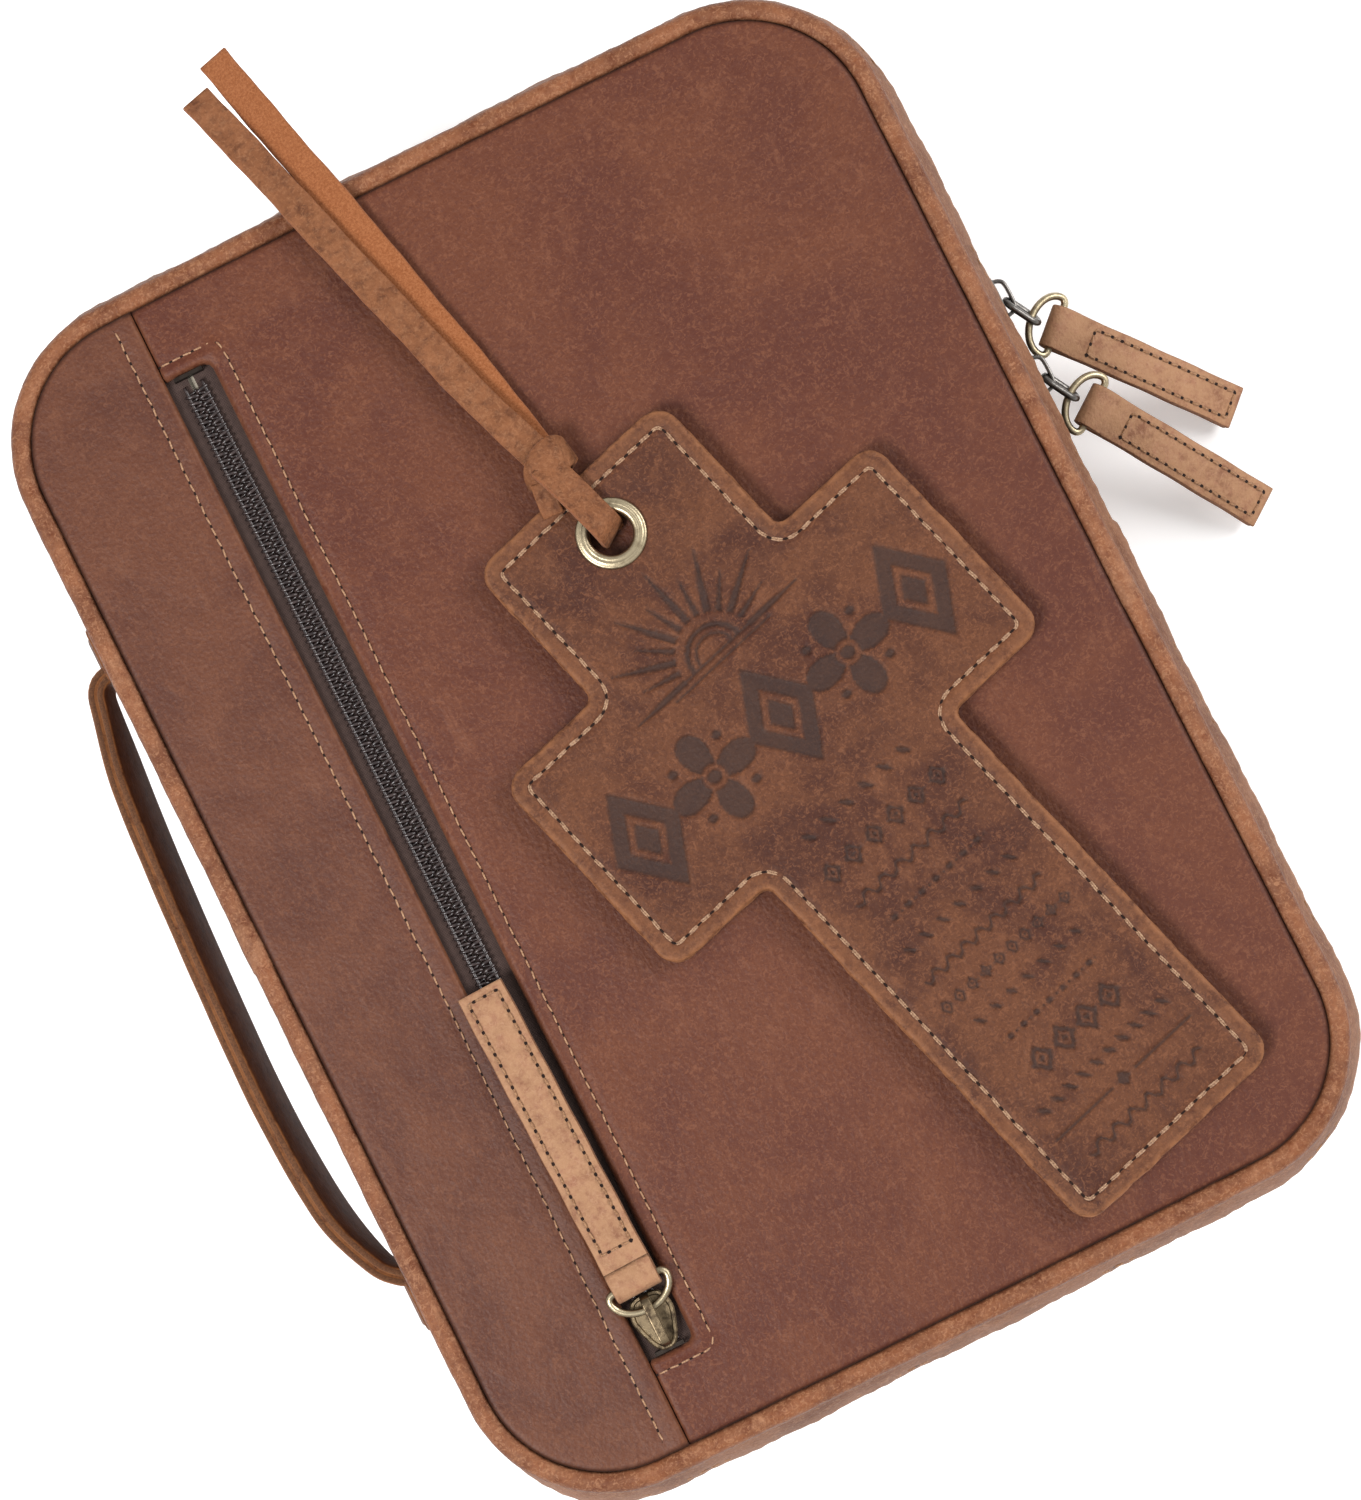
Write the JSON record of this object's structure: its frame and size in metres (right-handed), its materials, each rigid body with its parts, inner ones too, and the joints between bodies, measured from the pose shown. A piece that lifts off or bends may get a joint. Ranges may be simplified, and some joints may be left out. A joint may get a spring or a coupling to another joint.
{
  "type": "bible in zip-round leather cover",
  "caption": "Zip-round brown leather Bible cover with carry handle, zip pocket on the front, cross bookmark on a lace, and a plain Bible inside.",
  "frame": {"origin": "centre of the back panel's flat underside, on which the closed cover lies", "axes": "+X from the spine to the opening edge, +Y to the head of the cover, +Z from the back panel to the front panel"},
  "size_m": [0.2542, 0.3071, 0.0585],
  "materials": {
    "panel_leather": "distressed reddish-brown pull-up leather, satin",
    "piping_leather": "lighter orange-brown leather over cord",
    "handle_leather": "two-layer brown leather, waxed edge",
    "pull_leather": "tan-brown leather, raw cut edge",
    "board": "grey-brown stiffening board",
    "lining_cloth": "plain woven brown lining",
    "zip_tape": "dark brown woven zip tape",
    "zip_coil": "dark brown nylon coil",
    "antique_brass": "antique brass, satin",
    "gunmetal": "dark gunmetal plating",
    "cross_leather": "dark distressed leather with pale worn edges",
    "lace_grain": "brown lace, grain side",
    "lace_suede": "orange-brown lace, flesh side",
    "bible_cover_leather": "black-brown bonded leather",
    "page_paper": "thin bible paper, gilt edge",
    "band_cloth": "woven headband",
    "ribbon": "dark red satin ribbon"
  },
  "bodies": {
    "back_shell": {"back_panel": "panel_leather", "back_board": "board", "back_lining": "lining_cloth", "back_piping": "piping_leather", "back_gusset": "panel_leather", "back_zip_tape": "zip_tape", "back_zip_coil": "zip_coil", "back_sleeve": "lining_cloth", "bible_back_cover": "bible_cover_leather", "bible_spine": "bible_cover_leather", "bible_pages": "page_paper", "bible_headband": "band_cloth", "bible_tailband": "band_cloth", "bible_ribbon": "ribbon"},
    "spine": {"spine_panel": "panel_leather", "spine_lining": "lining_cloth", "handle_upper_anchor": "panel_leather", "handle_lower_anchor": "panel_leather"},
    "front_shell": {"front_main_panel": "panel_leather", "front_strip_panel": "panel_leather", "front_board": "board", "front_lining": "lining_cloth", "front_piping": "piping_leather", "front_gusset": "panel_leather", "front_zip_tape": "zip_tape", "front_zip_coil": "zip_coil", "front_sleeve": "lining_cloth", "pocket_bag": "lining_cloth", "pocket_tape_left": "zip_tape", "pocket_tape_right": "zip_tape", "pocket_coil_left": "zip_coil", "pocket_coil_right": "zip_coil", "pocket_stops": "antique_brass"},
    "bible_cover": {"bible_front_cover": "bible_cover_leather"},
    "handle": {"handle_outer_strap": "handle_leather", "handle_inner_strap": "handle_leather"},
    "pocket_slider": {"pocket_slider_body": "antique_brass"},
    "pocket_ring_body": {"pocket_ring": "antique_brass"},
    "pocket_pull_body": {"pocket_pull": "pull_leather"},
    "bookmark": {"cross_front_leather": "cross_leather", "cross_back_leather": "cross_leather", "eyelet": "antique_brass", "eyelet_washer": "antique_brass", "lace_loop": "lace_grain", "lace_knot": "lace_grain", "lace_tail_grain": "lace_grain", "lace_tail_suede": "lace_suede"},
    "upper_slider": {"upper_slider_body": "gunmetal"},
    "upper_loop": {"upper_slider_loop": "gunmetal"},
    "upper_ring_body": {"upper_ring": "antique_brass"},
    "upper_pull_body": {"upper_pull": "pull_leather"},
    "lower_slider": {"lower_slider_body": "gunmetal"},
    "lower_loop": {"lower_slider_loop": "gunmetal"},
    "lower_ring_body": {"lower_ring": "antique_brass"},
    "lower_pull_body": {"lower_pull": "pull_leather"}
  },
  "joints": [
    {"name": "spine_fold", "type": "hinge", "parent": "back_shell", "child": "spine", "pos_m": [-0.0959, 0, 0.0025], "axis": [0, -1, 0], "range_deg": [0, 90]},
    {"name": "front_fold", "type": "hinge", "parent": "spine", "child": "front_shell", "pos_m": [-0.0959, 0, 0.0475], "axis": [0, -1, 0], "range_deg": [0, 90]},
    {"name": "bible_cover_fold", "type": "hinge", "parent": "back_shell", "child": "bible_cover", "pos_m": [-0.0832, 0, 0.0427], "axis": [0, -1, 0], "range_deg": [0, 180]},
    {"name": "handle_swing", "type": "hinge", "parent": "spine", "child": "handle", "pos_m": [-0.1025, 0, 0.025], "axis": [0, 1, 0], "range_deg": [-25, 25]},
    {"name": "pocket_slide", "type": "slide", "parent": "front_shell", "child": "pocket_slider", "axis": [0, 1, 0], "range_m": [0, 0.205]},
    {"name": "pocket_ring_tilt", "type": "hinge", "parent": "pocket_slider", "child": "pocket_ring_body", "pos_m": [-0.05605, -0.1009, 0.0519], "axis": [0.9996, 0.03, 0], "range_deg": [0, 50]},
    {"name": "pocket_pull_tilt", "type": "hinge", "parent": "pocket_ring_body", "child": "pocket_pull_body", "pos_m": [-0.05623, -0.09494, 0.0526], "axis": [0.9996, 0.03, 0], "range_deg": [0, 60]},
    {"name": "upper_slide", "type": "slide", "parent": "back_shell", "child": "upper_slider", "axis": [0, 1, 0], "range_m": [0, 0.028]},
    {"name": "upper_loop_turn", "type": "hinge", "parent": "upper_slider", "child": "upper_loop", "pos_m": [0.1036, 0.0532, 0.025], "axis": [-0.2372, -0.2712, 0.9328], "range_deg": [0, 25]},
    {"name": "upper_ring_tilt", "type": "hinge", "parent": "upper_loop", "child": "upper_ring_body", "pos_m": [0.10687, 0.04764, 0.02422], "axis": [-0.7278, -0.6858, 0], "range_deg": [0, 10]},
    {"name": "upper_pull_tilt", "type": "hinge", "parent": "upper_ring_body", "child": "upper_pull_body", "pos_m": [0.11074, 0.04353, 0.02216], "axis": [-0.7278, -0.6858, 0], "range_deg": [-15, 30]},
    {"name": "lower_slide", "type": "slide", "parent": "back_shell", "child": "lower_slider", "axis": [0, 1, 0], "range_m": [-0.118, 0]},
    {"name": "lower_loop_turn", "type": "hinge", "parent": "lower_slider", "child": "lower_loop", "pos_m": [0.1036, 0.0352, 0.025], "axis": [-0.2372, -0.2712, 0.9328], "range_deg": [-8, 0]},
    {"name": "lower_ring_tilt", "type": "hinge", "parent": "lower_loop", "child": "lower_ring_body", "pos_m": [0.10687, 0.02964, 0.02422], "axis": [-0.807, -0.5906, 0], "range_deg": [0, 25]},
    {"name": "lower_pull_tilt", "type": "hinge", "parent": "lower_ring_body", "child": "lower_pull_body", "pos_m": [0.1102, 0.02509, 0.02216], "axis": [-0.807, -0.5906, 0], "range_deg": [-15, 30]},
    {"name": "bookmark_lift", "type": "slide", "parent": "front_shell", "child": "bookmark", "axis": [0, 0, 1], "range_m": [0, 0.08]}
  ],
  "couplings": [
    {"joint": "front_fold", "follows": "spine_fold", "ratio": 1},
    {"joint": "bible_cover_fold", "follows": "spine_fold", "ratio": 2}
  ]
}
